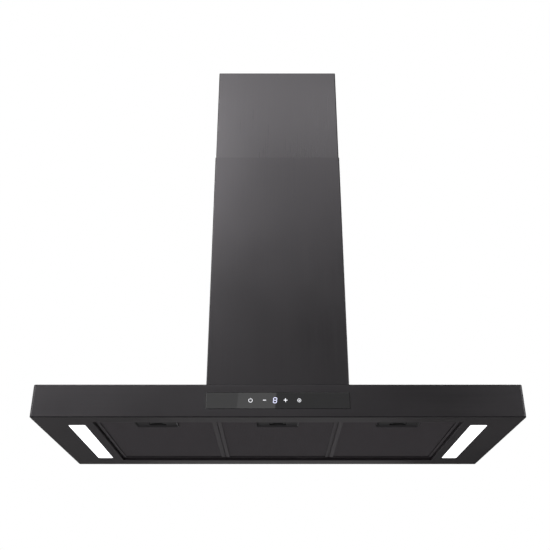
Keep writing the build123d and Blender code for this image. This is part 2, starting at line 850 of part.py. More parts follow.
def filter_blank(centre, inset):
    """A filter's outer shape, with its rear and side borders sloping up to the edge."""
    x0 = centre - filter_width / 2 + inset
    x1 = centre + filter_width / 2 - inset
    y0 = back(filter_front) + inset
    y1 = back(filter_rear) - inset
    low = filter_bottom + inset
    blank = block(x0, x1, y0, y1, low, filter_top - inset)
    slope_start = back(filter_rear - filter_rear_border + filter_grip)
    slope = [(slope_start, low), (back(filter_rear), low + filter_rear_rise), (back(filter_rear), low)]
    blank -= extrude(Plane.YZ.offset(x0) * make_face(Polyline(slope, close=True)), filter_width)
    for side in sides:
        edge = centre + side * filter_width / 2
        slope_start = edge - side * (filter_side_border - filter_grip)
        slope = [(slope_start, low), (edge, low + filter_side_rise), (edge, low)]
        face = Plane.XZ.offset(-back(filter_front)) * make_face(Polyline(slope, close=True))
        blank -= extrude(face, filter_rear - filter_front, dir=(0, 1, 0))
    return blank


def filter_frame(centre):
    """A filter's channel frame, with two lugs at the back and a latch hole in front."""
    x0, x1 = centre - filter_width / 2, centre + filter_width / 2
    y0, y1 = back(filter_front), back(filter_rear)
    frame = filter_blank(centre, 0) - filter_blank(centre, filter_sheet)
    frame -= block(
        x0 + filter_side_border, x1 - filter_side_border,
        y0 + filter_front_border, y1 - filter_rear_border, filter_bottom - 1, filter_top + 1,
    )
    frame -= block(
        centre - nose_half_width - 0.4, centre + nose_half_width + 0.4, y0 - 1, y0 + 3,
        nose_height - nose_half_thickness - 0.4, nose_height + nose_half_thickness + 0.4,
    )
    for side in sides:
        lug_x = centre + side * lug_offset
        frame += block(
            lug_x - 6.5, lug_x + 6.5, y1 - filter_sheet, y1 + lug_length,
            swing_height - 0.6, swing_height + 0.6,
        )
    return frame


def filter_mesh(centre):
    """The stacked sheets of aluminium mesh inside a filter frame, each in three strips."""
    fit = 0.3
    layer = 0.7
    count = 3
    low = filter_bottom + filter_sheet + 0.1
    high = filter_top - filter_sheet - 0.1
    outer = filter_width / 2 - filter_side_border + filter_grip - fit
    cup_side = cup_half_width + fit
    front = back(filter_front + filter_sheet + fit)
    middle = back(cup_rear + fit)
    rear = back(filter_rear - filter_rear_border + filter_grip - fit)
    found = []
    for index in range(count):
        z = low + index * (high - low - layer) / (count - 1)
        found.append(block(centre - outer, centre + outer, middle, rear, z, z + layer))
        for side in sides:
            x0, x1 = centre + side * cup_side, centre + side * outer
            found.append(block(x0, x1, front, middle, z, z + layer))
    return found


def filter_handle(centre):
    """A filter's shallow finger cup, with a deep pocket in its middle for the latch."""
    roof = filter_top - 0.4
    cup = block(
        centre - cup_half_width, centre + cup_half_width, back(cup_front), back(cup_rear), filter_bottom, roof
    )
    cup -= block(
        centre - cup_half_width + cup_wall, centre + cup_half_width - cup_wall,
        back(cup_front + cup_wall), back(cup_rear - cup_wall), filter_bottom - 1, cup_floor,
    )
    cup -= block(
        centre - pocket_half_width, centre + pocket_half_width,
        back(cup_front + cup_wall), back(pocket_rear), filter_bottom - 1, roof - cup_wall,
    )
    for side in sides:
        cup -= block(
            centre + side * (pocket_half_width + cup_wall), centre + side * (cup_half_width + 1),
            back(cup_front - 1), back(cup_rear + 1), cup_floor + cup_wall, roof + 1,
        )
    return cup - rod((centre, back(cup_front - 1), nose_height), (0, 1, 0), 1.7, cup_wall + 2)


def latch_spring(centre):
    """The small coil spring that pushes a filter's latch forward."""
    length = cup_front - spring_front
    pitch = length / 4
    wire = 0.25
    coil = 2.35
    path = Helix(pitch=pitch, height=length - 2 * wire, radius=coil)
    section = Plane(origin=path @ 0, z_dir=path % 0) * Circle(wire)
    spring = sweep(section, path=path)
    where = Plane(origin=(centre, back(spring_front + wire + 0.05), nose_height), z_dir=(0, 1, 0))
    return where.location * spring


def latch(centre):
    """A filter's sliding latch: a nose, a stem and a finger pad."""
    nose = block(
        centre - nose_half_width, centre + nose_half_width, back(32.5), back(spring_front),
        nose_height - nose_half_thickness, nose_height + nose_half_thickness,
    )
    stem = rod((centre, back(spring_front - 1), nose_height), (0, 1, 0), 1.5, 14.0)
    pad = block(centre - 14.5, centre + 14.5, back(pad_front), back(pad_rear), 7.6, 10.8)
    pad = fillet(pad.edges().filter_by(Axis.Z), 1.5)
    pad += block(centre - 10.0, centre + 10.0, back(pad_rear - 6.0), back(pad_rear - 4.0), 6.2, 7.6)
    return nose + stem + pad


# ---- Build every node ----
os.makedirs("parts", exist_ok=True)

save("ceiling_plate", ceiling_plate())
save("upper_chimney", upper_chimney())
save("ceiling_frame_screws", *ceiling_frame_screws())
corner_names = {(-1, -1): "front_left", (1, -1): "front_right", (-1, 1): "rear_left", (1, 1): "rear_right"}
for (side_x, side_y), corner_name in corner_names.items():
    save("upper_strut_" + corner_name, upper_strut(side_x, side_y))
    save("lower_strut_" + corner_name, lower_strut(side_x, side_y))

save("canopy_shell", canopy_shell())
save("base_panel", base_panel())
save("panel_brackets", *panel_brackets())
save("fan_box", *fan_box())
save("strut_bolts", *strut_bolts())
save("hood_screws", *hood_screws())
save("lower_chimney", lower_chimney())

save("scroll_left", scroll_half(-1))
save("scroll_right", scroll_half(1))
save("impeller", impeller())
save("motor_shaft", motor_shaft())
save("rotor", rotor())
save("stator", stator())
save("motor_bearings", *motor_bearings())
save("motor_housing", motor_housing())
save("motor_end_cap", motor_end_cap())
save("motor_bracket", motor_bracket())
save("capacitor", capacitor())

save("outlet_collar", outlet_collar())
save("damper_pin", damper_pin())
save("damper_flap_left", damper_flap(-1))
save("damper_flap_right", damper_flap(1))
save("cable_gland", cable_gland())

save("control_glass", control_glass())
save("control_housing", control_housing())
save("touch_board", touch_board())
save("touch_springs", *touch_springs())
save("display_module", display_module())
save("power_box", power_box())
save("power_box_lid", power_box_lid())
save("main_board", main_board())

save("led_lenses", *[led_lens(side) for side in sides])
save("led_boards", *[led_board(side) for side in sides])
save("led_trays", *[led_tray(side) for side in sides])

for filter_name, filter_centre in filter_centres.items():
    save("filter_frame_" + filter_name, filter_frame(filter_centre))
    save("filter_mesh_" + filter_name, *filter_mesh(filter_centre))
    save("filter_handle_" + filter_name, filter_handle(filter_centre))
    save("latch_spring_" + filter_name, latch_spring(filter_centre))
    save("latch_" + filter_name, latch(filter_centre))
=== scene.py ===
import json
import math

import bmesh
import bpy
from mathutils import Matrix, Vector


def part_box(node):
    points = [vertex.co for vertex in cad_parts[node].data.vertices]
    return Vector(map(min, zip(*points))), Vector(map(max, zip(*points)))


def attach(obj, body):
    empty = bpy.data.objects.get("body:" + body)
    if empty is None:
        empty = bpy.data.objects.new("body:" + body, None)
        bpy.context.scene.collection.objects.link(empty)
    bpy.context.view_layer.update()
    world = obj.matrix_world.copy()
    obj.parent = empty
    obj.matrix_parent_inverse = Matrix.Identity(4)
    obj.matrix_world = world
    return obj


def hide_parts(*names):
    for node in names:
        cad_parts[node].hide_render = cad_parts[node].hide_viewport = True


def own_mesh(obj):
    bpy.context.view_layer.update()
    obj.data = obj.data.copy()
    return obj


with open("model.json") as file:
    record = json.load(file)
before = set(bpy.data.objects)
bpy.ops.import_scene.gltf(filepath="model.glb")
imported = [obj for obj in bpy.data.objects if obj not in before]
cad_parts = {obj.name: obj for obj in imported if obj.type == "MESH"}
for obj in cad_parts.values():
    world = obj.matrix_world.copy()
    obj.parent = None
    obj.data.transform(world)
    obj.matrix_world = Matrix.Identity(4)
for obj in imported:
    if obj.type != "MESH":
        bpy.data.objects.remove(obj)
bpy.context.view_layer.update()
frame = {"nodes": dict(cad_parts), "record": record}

nodes = frame["nodes"]
MM = 0.001

# ---- Places read from the frame ----
canopy_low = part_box("canopy_shell")[0]
glass_low, glass_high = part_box("control_glass")
underside = canopy_low.z
front_y = canopy_low.y


# ---- Node helpers for materials ----
class Surface:
    """A material's node tree, with short calls for the nodes that the finishes share."""

    def __init__(self, name):
        self.material = bpy.data.materials.new(name)
        self.material.use_nodes = True
        self.tree = self.material.node_tree
        self.shader = self.tree.nodes["Principled BSDF"]

    def node(self, kind, **settings):
        made = self.tree.nodes.new(kind)
        for key, value in settings.items():
            setattr(made, key, value)
        return made

    def link(self, source, target):
        self.tree.links.new(source, target)

    def set(self, **values):
        """Set the shader's own sockets, named with underscores for spaces."""
        for key, value in values.items():
            self.shader.inputs[key.replace("_", " ")].default_value = value

    def coordinates(self, scale):
        """Object coordinates, stretched by a scale along each axis."""
        source = self.node("ShaderNodeTexCoord")
        mapping = self.node("ShaderNodeMapping")
        mapping.inputs["Scale"].default_value = scale
        self.link(source.outputs["Object"], mapping.inputs["Vector"])
        return mapping.outputs["Vector"]

    def noise(self, scale, detail=4.0, roughness=0.55, vector=None):
        """Noise between 0 and 1, on stretched object coordinates."""
        made = self.node("ShaderNodeTexNoise")
        made.inputs["Scale"].default_value = 1.0
        made.inputs["Detail"].default_value = detail
        made.inputs["Roughness"].default_value = roughness
        self.link(vector or self.coordinates(scale), made.inputs["Vector"])
        return made.outputs["Fac"]

    def remap(self, value, low, high, source_low=0.3, source_high=0.7):
        """A value moved from one range to another."""
        made = self.node("ShaderNodeMapRange")
        made.inputs["From Min"].default_value = source_low
        made.inputs["From Max"].default_value = source_high
        made.inputs["To Min"].default_value = low
        made.inputs["To Max"].default_value = high
        self.link(value, made.inputs["Value"])
        return made.outputs["Result"]

    def blend(self, factor, first, second):
        """A colour between two colours, which may be sockets or fixed values."""
        made = self.node("ShaderNodeMix", data_type="RGBA")
        self.link(factor, made.inputs["Factor"])
        for name, value in (("A", first), ("B", second)):
            socket = [s for s in made.inputs if s.name == name and s.type == "RGBA"][0]
            if isinstance(value, bpy.types.NodeSocket):
                self.link(value, socket)
            else:
                socket.default_value = (*value, 1.0)
        return [s for s in made.outputs if s.type == "RGBA"][0]

    def combine(self, operation, first, second):
        """Two values joined by a maths operation; the second may be a plain number."""
        made = self.node("ShaderNodeMath", operation=operation)
        self.link(first, made.inputs[0])
        if isinstance(second, bpy.types.NodeSocket):
            self.link(second, made.inputs[1])
        else:
            made.inputs[1].default_value = second
        return made.outputs[0]

    def bump(self, height, strength, distance):
        """Relief on the shader's normal."""
        made = self.node("ShaderNodeBump")
        made.inputs["Strength"].default_value = strength
        made.inputs["Distance"].default_value = distance
        self.link(height, made.inputs["Height"])
        self.link(made.outputs["Normal"], self.shader.inputs["Normal"])

    def edge_mask(self, radius):
        """1 near the surface's edges, fading to 0 on its flats."""
        rounded = self.node("ShaderNodeBevel", samples=4)
        rounded.inputs["Radius"].default_value = radius
        flat = self.node("ShaderNodeNewGeometry")
        agree = self.node("ShaderNodeVectorMath", operation="DOT_PRODUCT")
        self.link(rounded.outputs["Normal"], agree.inputs[0])
        self.link(flat.outputs["Normal"], agree.inputs[1])
        return self.remap(agree.outputs["Value"], 1.0, 0.0, 0.86, 0.995)

    def fold_mask(self):
        """1 on rounded folds, 0 on faces that look along an axis."""
        shape = self.node("ShaderNodeNewGeometry")
        split = self.node("ShaderNodeSeparateXYZ")
        self.link(shape.outputs["Normal"], split.inputs["Vector"])
        sizes = []
        for axis in ("X", "Y", "Z"):
            size = self.node("ShaderNodeMath", operation="ABSOLUTE")
            self.link(split.outputs[axis], size.inputs[0])
            sizes.append(size.outputs[0])
        largest = self.combine("MAXIMUM", self.combine("MAXIMUM", sizes[0], sizes[1]), sizes[2])
        return self.remap(largest, 1.0, 0.0, 0.92, 0.995)

    def side_mask(self):
        """1 on faces that look along X, 0 on the others."""
        shape = self.node("ShaderNodeNewGeometry")
        split = self.node("ShaderNodeSeparateXYZ")
        self.link(shape.outputs["Normal"], split.inputs["Vector"])
        size = self.node("ShaderNodeMath", operation="ABSOLUTE")
        self.link(split.outputs["X"], size.inputs[0])
        return self.remap(size.outputs[0], 0.0, 1.0, 0.6, 0.8)


# ---- Materials ----
def dark_steel(name, tone, grain_scales, roughness, fold_shade_depth=0.0):
    """Stainless sheet with a black tint, brushed grain, faint smears, and painted shade that darkens its
    rounded folds.

    grain_scales holds the grain's stretch on faces along Y or Z, then on faces along X.
    The fold argument sets how far painted shade darkens the rounded folds, from 0 to 1.
    """
    surface = Surface(name)
    front = surface.noise(grain_scales[0], detail=3.0, roughness=0.6)
    side = surface.noise(grain_scales[1], detail=3.0, roughness=0.6)
    mixed = surface.node("ShaderNodeMix", data_type="FLOAT")
    surface.link(surface.side_mask(), mixed.inputs["Factor"])
    surface.link(front, mixed.inputs["A"])
    surface.link(side, mixed.inputs["B"])
    grain = mixed.outputs["Result"]
    smears = surface.noise((5.0, 5.0, 4.0), detail=3.0)
    dark = tuple(c * 0.96 for c in tone)
    light = tuple(c * 1.04 for c in tone)
    brushed = surface.blend(surface.remap(grain, 0.0, 1.0), dark, light)
    smeared = surface.blend(
        surface.remap(smears, 0.0, 0.35), brushed, tuple(c * 1.08 for c in tone)
    )
    # Painted shade: the rounded folds are darkened towards a tenth of the tone, in place of the shade along
    # them.
    folds = surface.combine("MULTIPLY", surface.fold_mask(), fold_shade_depth)
    fold_shaded_colour = surface.blend(folds, smeared, tuple(c * 0.1 for c in tone))
    surface.link(fold_shaded_colour, surface.shader.inputs["Base Color"])
    base_roughness = surface.remap(grain, roughness - 0.03, roughness + 0.03)
    patches = surface.remap(smears, -0.03, 0.03)
    surface.link(
        surface.combine("ADD", base_roughness, patches), surface.shader.inputs["Roughness"]
    )
    surface.set(Metallic=0.85, Anisotropic=0.35)
    surface.bump(grain, 0.035, 0.0002)
    return surface.material


def zinc_sheet(name, tone, roughness=0.42):
    """Galvanised or plated steel, with a crystal pattern and dull patches."""
    surface = Surface(name)
    cells = surface.node("ShaderNodeTexVoronoi")
    cells.inputs["Scale"].default_value = 1.0
    surface.link(surface.coordinates((70.0, 70.0, 70.0)), cells.inputs["Vector"])
    split = surface.node("ShaderNodeSeparateColor")
    surface.link(cells.outputs["Color"], split.inputs["Color"])
    spangle = split.outputs["Red"]
    colour = surface.blend(spangle, tuple(c * 0.82 for c in tone), tuple(c * 1.08 for c in tone))
    dull = surface.noise((14.0, 14.0, 14.0))
    colour = surface.blend(surface.remap(dull, 0.0, 0.5), colour, tuple(c * 0.7 for c in tone))
    surface.link(colour, surface.shader.inputs["Base Color"])
    surface.link(
        surface.remap(spangle, roughness - 0.08, roughness + 0.1, 0.0, 1.0),
        surface.shader.inputs["Roughness"],
    )
    surface.set(Metallic=0.9)
    surface.bump(dull, 0.08, 0.0004)
    return surface.material


def turned_steel(name, tone, roughness=0.3):
    """Bright machined or drawn steel, with fine scratches."""
    surface = Surface(name)
    scratches = surface.noise((900.0, 260.0, 900.0), detail=2.0)
    colour = surface.blend(surface.remap(scratches, 0.0, 1.0), tuple(c * 0.8 for c in tone), tone)
    surface.link(colour, surface.shader.inputs["Base Color"])
    surface.link(
        surface.remap(scratches, roughness - 0.07, roughness + 0.1), surface.shader.inputs["Roughness"]
    )
    surface.set(Metallic=1.0)
    surface.bump(scratches, 0.06, 0.0001)
    return surface.material


def moulded_plastic(name, tone, roughness=0.5, grain=1500.0, metallic=0.0):
    """Moulded plastic with a fine spark-eroded texture, slight colour drift, and edges lightened partly as
    wear and partly as a painted highlight.
    """
    surface = Surface(name)
    pits = surface.noise((grain, grain, grain), detail=2.0)
    drift = surface.noise((18.0, 18.0, 18.0), detail=3.0)
    dark = tuple(c * 0.86 for c in tone)
    light = tuple(c * 1.12 for c in tone)
    colour = surface.blend(surface.remap(drift, 0.0, 1.0), dark, light)
    # Edges are lightened: partly wear, partly a painted highlight along them.
    edges = surface.combine("MULTIPLY", surface.edge_mask(0.0006), 0.3)
    edge_wear_and_highlight = surface.blend(edges, colour, tuple(min(1.0, c * 1.8 + 0.01) for c in tone))
    surface.link(edge_wear_and_highlight, surface.shader.inputs["Base Color"])
    surface.link(
        surface.remap(pits, roughness - 0.06, roughness + 0.08), surface.shader.inputs["Roughness"]
    )
    surface.set(Metallic=metallic)
    surface.bump(pits, 0.12, 0.0001)
    return surface.material


def smoked_glass():
    """Near-black toughened glass with faint handling marks."""
    surface = Surface("smoked_glass")
    marks = surface.noise((40.0, 40.0, 60.0), detail=5.0)
    colour = surface.blend(surface.remap(marks, 0.0, 1.0), (0.006, 0.006, 0.007), (0.009, 0.0085, 0.010))
    surface.link(colour, surface.shader.inputs["Base Color"])
    surface.link(surface.remap(marks, 0.008, 0.03), surface.shader.inputs["Roughness"])
    surface.set(IOR=1.52, Coat_Weight=0.6, Coat_Roughness=0.01)
    return surface.material


def lit_lens():
    """A frosted lens, lit evenly from behind."""
    surface = Surface("lit_lens")
    frost = surface.noise((900.0, 900.0, 900.0), detail=2.0)
    colour = surface.blend(surface.remap(frost, 0.0, 1.0), (0.93, 0.93, 0.95), (1.0, 1.0, 1.0))
    surface.link(colour, surface.shader.inputs["Base Color"])
    surface.link(colour, surface.shader.inputs["Emission Color"])
    surface.link(surface.remap(frost, 0.45, 0.6), surface.shader.inputs["Roughness"])
    surface.set(Emission_Strength=1.6)
    surface.bump(frost, 0.1, 0.0001)
    return surface.material


def glowing(name, tone, strength):
    """Light printed behind glass, with a slight unevenness."""
    surface = Surface(name)
    drift = surface.noise((700.0, 700.0, 700.0), detail=2.0)
    colour = surface.blend(surface.remap(drift, 0.0, 1.0), tuple(c * 0.9 for c in tone), tone)
    surface.link(colour, surface.shader.inputs["Base Color"])
    surface.link(colour, surface.shader.inputs["Emission Color"])
    surface.set(Emission_Strength=strength, Roughness=0.4)
    return surface.material


def circuit_board():
    """Green solder mask with copper tracks and pale component tops."""
    surface = Surface("circuit_board")
    tracks = surface.node("ShaderNodeTexBrick")
    tracks.inputs["Scale"].default_value = 1.0
    tracks.inputs["Mortar Size"].default_value = 0.06
    surface.link(surface.coordinates((260.0, 170.0, 170.0)), tracks.inputs["Vector"])
    colour = surface.blend(tracks.outputs["Fac"], (0.012, 0.10, 0.045), (0.05, 0.24, 0.10))
    surface.link(colour, surface.shader.inputs["Base Color"])
    speckle = surface.noise((1200.0, 1200.0, 1200.0))
    surface.link(surface.remap(speckle, 0.35, 0.55), surface.shader.inputs["Roughness"])
    surface.bump(tracks.outputs["Fac"], 0.2, 0.0001)
    return surface.material


def laminated_steel():
    """Stacked laminations, with fine rings across the shaft's axis."""
    surface = Surface("laminated_steel")
    rings = surface.noise((1400.0, 6.0, 6.0), detail=1.0)
    colour = surface.blend(surface.remap(rings, 0.0, 1.0), (0.09, 0.09, 0.10), (0.30, 0.29, 0.29))
    surface.link(colour, surface.shader.inputs["Base Color"])
    surface.link(surface.remap(rings, 0.4, 0.6), surface.shader.inputs["Roughness"])
    surface.set(Metallic=0.8)
    surface.bump(rings, 0.4, 0.0002)
    return surface.material


CASE_TONE = (0.118, 0.112, 0.119)
# Painted shade on the rounded folds of the chimney and canopy steel: how far they are darkened.
FOLD_SHADE_DEPTH = 0.8
UPRIGHT_GRAIN = ((900.0, 900.0, 5.0), (900.0, 900.0, 5.0))
LONG_GRAIN = ((5.0, 900.0, 900.0), (900.0, 5.0, 900.0))
materials = {
    "chimney_skin": dark_steel("chimney_skin", CASE_TONE, UPRIGHT_GRAIN, 0.33, fold_shade_depth=FOLD_SHADE_DEPTH),
    "canopy_skin": dark_steel("canopy_skin", CASE_TONE, LONG_GRAIN, 0.32, fold_shade_depth=FOLD_SHADE_DEPTH),
    # Painted shade: a much darker copy of the filter steel for the finger cups, in place of the shade in
    # their recesses.
    "handle_skin": dark_steel("handle_skin", (0.050, 0.048, 0.051), LONG_GRAIN, 0.40),
    "galvanised": zinc_sheet("galvanised", (0.52, 0.53, 0.54)),
    "strut_steel": zinc_sheet("strut_steel", (0.40, 0.41, 0.42), roughness=0.36),
    "fixings": turned_steel("fixings", (0.42, 0.42, 0.43)),
    "smoked_glass": smoked_glass(),
    "display": moulded_plastic("display", (0.02, 0.02, 0.022), roughness=0.3),
    "circuit_board": circuit_board(),
    "contact_spring": turned_steel("contact_spring", (0.75, 0.62, 0.32)),
    "dark_plastic": moulded_plastic("dark_plastic", (0.018, 0.018, 0.019), roughness=0.45),
    "casing_plastic": moulded_plastic("casing_plastic", (0.075, 0.076, 0.08), roughness=0.55),
    "impeller_plastic": moulded_plastic("impeller_plastic", (0.03, 0.03, 0.033), roughness=0.4),
    "motor_steel": turned_steel("motor_steel", (0.46, 0.46, 0.47), roughness=0.35),
    "lamination": laminated_steel(),
    "shaft_steel": turned_steel("shaft_steel", (0.66, 0.66, 0.67), roughness=0.2),
    "capacitor_can": moulded_plastic("capacitor_can", (0.72, 0.72, 0.70), roughness=0.35),
    "lens": lit_lens(),
    "light_board": moulded_plastic("light_board", (0.78, 0.78, 0.75), roughness=0.4),
    "tray_metal": zinc_sheet("tray_metal", (0.62, 0.62, 0.63)),
    "filter_metal": dark_steel("filter_metal", (0.124, 0.113, 0.122), LONG_GRAIN, 0.45),
    "filter_weave": turned_steel("filter_weave", (0.142, 0.130, 0.140), roughness=0.5),
    "spring_steel": turned_steel("spring_steel", (0.6, 0.6, 0.61), roughness=0.25),
}
# Painted light: a lighter copy of the chimney steel for the upper chimney, in place of the brighter light
# near the top.
upper_skin_painted_light = dark_steel(
    "upper_skin_painted_light", (0.132, 0.126, 0.133), UPRIGHT_GRAIN, 0.31, fold_shade_depth=FOLD_SHADE_DEPTH
)
# Painted shade: a darker copy of the canopy steel for the base panel underneath.
panel_skin_painted_shade = dark_steel("panel_skin_painted_shade", (0.100, 0.091, 0.098), LONG_GRAIN, 0.35)
key_glow = glowing("key_glow", (0.90, 0.91, 0.95), 0.95)
digit_glow = glowing("digit_glow", (0.74, 0.76, 1.0), 1.2)


def finish_frame_nodes():
    """Give every CAD node the material of its record slot, then give the upper chimney a lighter copy of
    its steel as painted light and the base panel a darker copy as painted shade.
    """
    for part in frame["record"]["subparts"]:
        mesh = nodes[part["node"]].data
        if not mesh.materials:
            mesh.materials.append(None)
        for index in range(len(mesh.materials)):
            mesh.materials[index] = materials[part["material_slot"]]
    # Painted light: the upper chimney takes the lighter copy of the chimney steel.
    nodes["upper_chimney"].data.materials[0] = upper_skin_painted_light
    # Painted shade: the base panel takes the darker copy of the canopy steel.
    nodes["base_panel"].data.materials[0] = panel_skin_painted_shade


# ---- Mesh helpers ----
def new_piece(name, mesh_maker, body, slot_name, material=None, smooth=False):
    """Make a piece from a function that fills a bmesh, and let it ride on a body."""
    shape = bmesh.new()
    mesh_maker(shape)
    bmesh.ops.recalc_face_normals(shape, faces=shape.faces)
    mesh = bpy.data.meshes.new(name)
    shape.to_mesh(mesh)
    shape.free()
    if smooth:
        mesh.shade_smooth()
    piece = bpy.data.objects.new(name, mesh)
    bpy.context.scene.collection.objects.link(piece)
    mesh.materials.append(material or materials[slot_name])
    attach(piece, body)
    return piece


def add_box(shape, low, high):
    """Add a box between two corners to a bmesh."""
    centre = [(a + b) / 2 for a, b in zip(low, high)]
    size = [b - a for a, b in zip(low, high)]
    place = Matrix.Translation(centre) @ Matrix.Diagonal((*size, 1.0))
    return bmesh.ops.create_cube(shape, size=1.0, matrix=place)["verts"]


# ---- Symbols behind the control glass ----
# X is measured from the canopy's middle and Z up from its underside, in millimetres.
GLYPH_DEPTH = 0.06 * MM
GLASS_SETBACK = 0.15 * MM
glyph_back = front_y + 0.14 * MM
SYMBOL_Z = 31.7
POWER_X = -50.0
MINUS_X = -24.4
DIGIT_X = -5.2
PLUS_X = 14.0
LIGHT_X = 39.0


def panel_prism(shape, outline):
    """Add a thin slab with an outline of (X, Z) points on the glass."""
    front = glyph_back - GLYPH_DEPTH
    rims = []
    for y in (front, glyph_back):
        rims.append([shape.verts.new((x * MM, y, underside + z * MM)) for x, z in outline])
    count = len(outline)
    shape.faces.new(rims[0])
    shape.faces.new(list(reversed(rims[1])))
    for index in range(count):
        after = (index + 1) % count
        shape.faces.new((rims[0][index], rims[1][index], rims[1][after], rims[0][after]))


def arc_band(shape, x, z, radius, width, start, end, steps=40):
    """Add a band along an arc, in degrees counted anticlockwise from the right."""
    for index in range(steps):
        low = math.radians(start + (end - start) * index / steps)
        high = math.radians(start + (end - start) * (index + 1) / steps)
        outline = []
        for angle, r in ((low, radius), (high, radius), (high, radius - width), (low, radius - width)):
            outline.append((x + r * math.cos(angle), z + r * math.sin(angle)))
        panel_prism(shape, outline)


def bar_symbol(shape, x, z, wide, tall):
    """Add a plain upright bar, wide across X and tall along Z, about its middle."""
    half_wide, half_tall = wide / 2, tall / 2
    panel_prism(shape, [
        (x - half_wide, z - half_tall), (x + half_wide, z - half_tall),
        (x + half_wide, z + half_tall), (x - half_wide, z + half_tall),
    ])


def power_symbol(shape):
    """Add an open ring with a stroke through its gap."""
    arc_band(shape, POWER_X, SYMBOL_Z - 0.2, 3.8, 0.9, 115.0, 425.0)
    bar_symbol(shape, POWER_X, SYMBOL_Z + 3.0, 0.8, 3.0)


def minus_symbol(shape):
    """Add the key that lowers the fan's speed."""
    bar_symbol(shape, MINUS_X, SYMBOL_Z + 0.3, 5.8, 1.3)


def plus_symbol(shape):
    """Add the key that raises the fan's speed, as one long bar and two stubs."""
    length, width = 6.8, 1.3
    middle_z = SYMBOL_Z + 0.3
    stub = (length - width) / 2
    bar_symbol(shape, PLUS_X, middle_z, length, width)
    for side in (-1, 1):
        bar_symbol(shape, PLUS_X, middle_z + side * (width + stub) / 2, width, stub)


def light_symbol(shape):
    """Add the lamp key: a ring round a small dot."""
    middle_z = SYMBOL_Z - 0.1
    arc_band(shape, LIGHT_X, middle_z, 3.4, 0.8, 0.0, 360.0)
    arc_band(shape, LIGHT_X, middle_z, 1.0, 0.9, 0.0, 360.0, steps=16)


DIGIT_SLANT = 0.08


def digit_bar(shape, x, z, length, width, upright):
    """Add one six-sided bar of a seven-segment digit."""
    half, tip = length / 2, width / 2
    shoulder = half - tip
    points = [(-half, 0), (-shoulder, tip), (shoulder, tip), (half, 0), (shoulder, -tip), (-shoulder, -tip)]
    if upright:
        points = [(b, a) for a, b in points]
    panel_prism(shape, [(x + a + DIGIT_SLANT * (z + b - SYMBOL_Z), z + b) for a, b in points])


def digit_symbol(shape):
    """Add the display's digit, an 8 with small gaps between its seven bars."""
    wide, tall, bar, gap = 6.0, 4.8, 1.15, 0.5
    for row in (-1, 0, 1):
        digit_bar(shape, DIGIT_X, SYMBOL_Z + row * tall, wide - gap, bar, False)
    for side in (-1, 1):
        for row in (-0.5, 0.5):
            x, z = DIGIT_X + side * wide / 2, SYMBOL_Z + row * tall
            digit_bar(shape, x, z, tall - gap, bar, True)


def glass_panel(shape):
    """Add the control glass, a hair behind the canopy's front, with ground edges."""
    low = (glass_low.x, front_y + GLASS_SETBACK, glass_low.z)
    add_box(shape, low, tuple(glass_high))


def build_control_panel():
    """Replace the control glass and light the symbols behind it."""
    glass = new_piece("control_glass_panel", glass_panel, "hood", "smoked_glass")
    edges = glass.modifiers.new("ground edge", "BEVEL")
    edges.width = 0.5 * MM
    edges.segments = 3
    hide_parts("control_glass")
    for symbol in (power_symbol, minus_symbol, plus_symbol, light_symbol):
        new_piece(symbol.__name__, symbol, "hood", "display", key_glow)
    new_piece("digit_symbol", digit_symbol, "hood", "display", digit_glow)


# ---- Filter mesh ----
DIAMOND_LONG = 6.0 * MM
DIAMOND_SHORT = 3.2 * MM
STRAND = 0.55 * MM
FRONT_COVER = 11.9 * MM
FRAME_GRIP = 2.7 * MM
MESH_TUCK = 0.6 * MM
MESH_STEP = 0.3 * MM
CORE_STEP = 1.3 * MM
CUP_CLEARANCE = 0.3 * MM


def strand_row(shape, x0, steps, y, rise, z, keep):
    """Add one zigzag strand of expanded metal, with a three-sided section."""
    before = None
    for index in range(steps + 1):
        x = x0 + index * DIAMOND_LONG / 2
        centre_y = y + (rise if index % 2 else -rise)
        if not keep(x, centre_y):
            before = None
            continue
        ring = [
            shape.verts.new((x, centre_y - STRAND / 2, z + STRAND * 0.5)),
            shape.verts.new((x, centre_y + STRAND / 2, z + STRAND * 0.5)),
            shape.verts.new((x, centre_y, z + STRAND * 0.15)),
        ]
        if before:
            for a in range(3):
                b = (a + 1) % 3
                shape.faces.new((before[a], before[b], ring[b], ring[a]))
        before = ring


def expanded_sheet(low, high, cup_low, cup_high, z):
    """A mesh maker for a sheet of diamonds that leaves room for the finger cup."""

    def keep(x, y):
        return not (cup_low.x < x < cup_high.x and cup_low.y < y < cup_high.y)

    def make(shape):
        rise = DIAMOND_SHORT / 4
        steps = int((high.x - low.x) / (DIAMOND_LONG / 2))
        rows = int((high.y - low.y) / (DIAMOND_SHORT / 2))
        for row in range(rows):
            y = low.y + (row + 0.5) * DIAMOND_SHORT / 2
            strand_row(shape, low.x, steps, y, rise if row % 2 else -rise, z, keep)

    return make


CUP_DEPTH = 3.0 * MM
CUP_WALL = 1.2 * MM
POCKET_HALF_WIDTH = 15.5 * MM
POCKET_REAR_GAP = 3.6 * MM


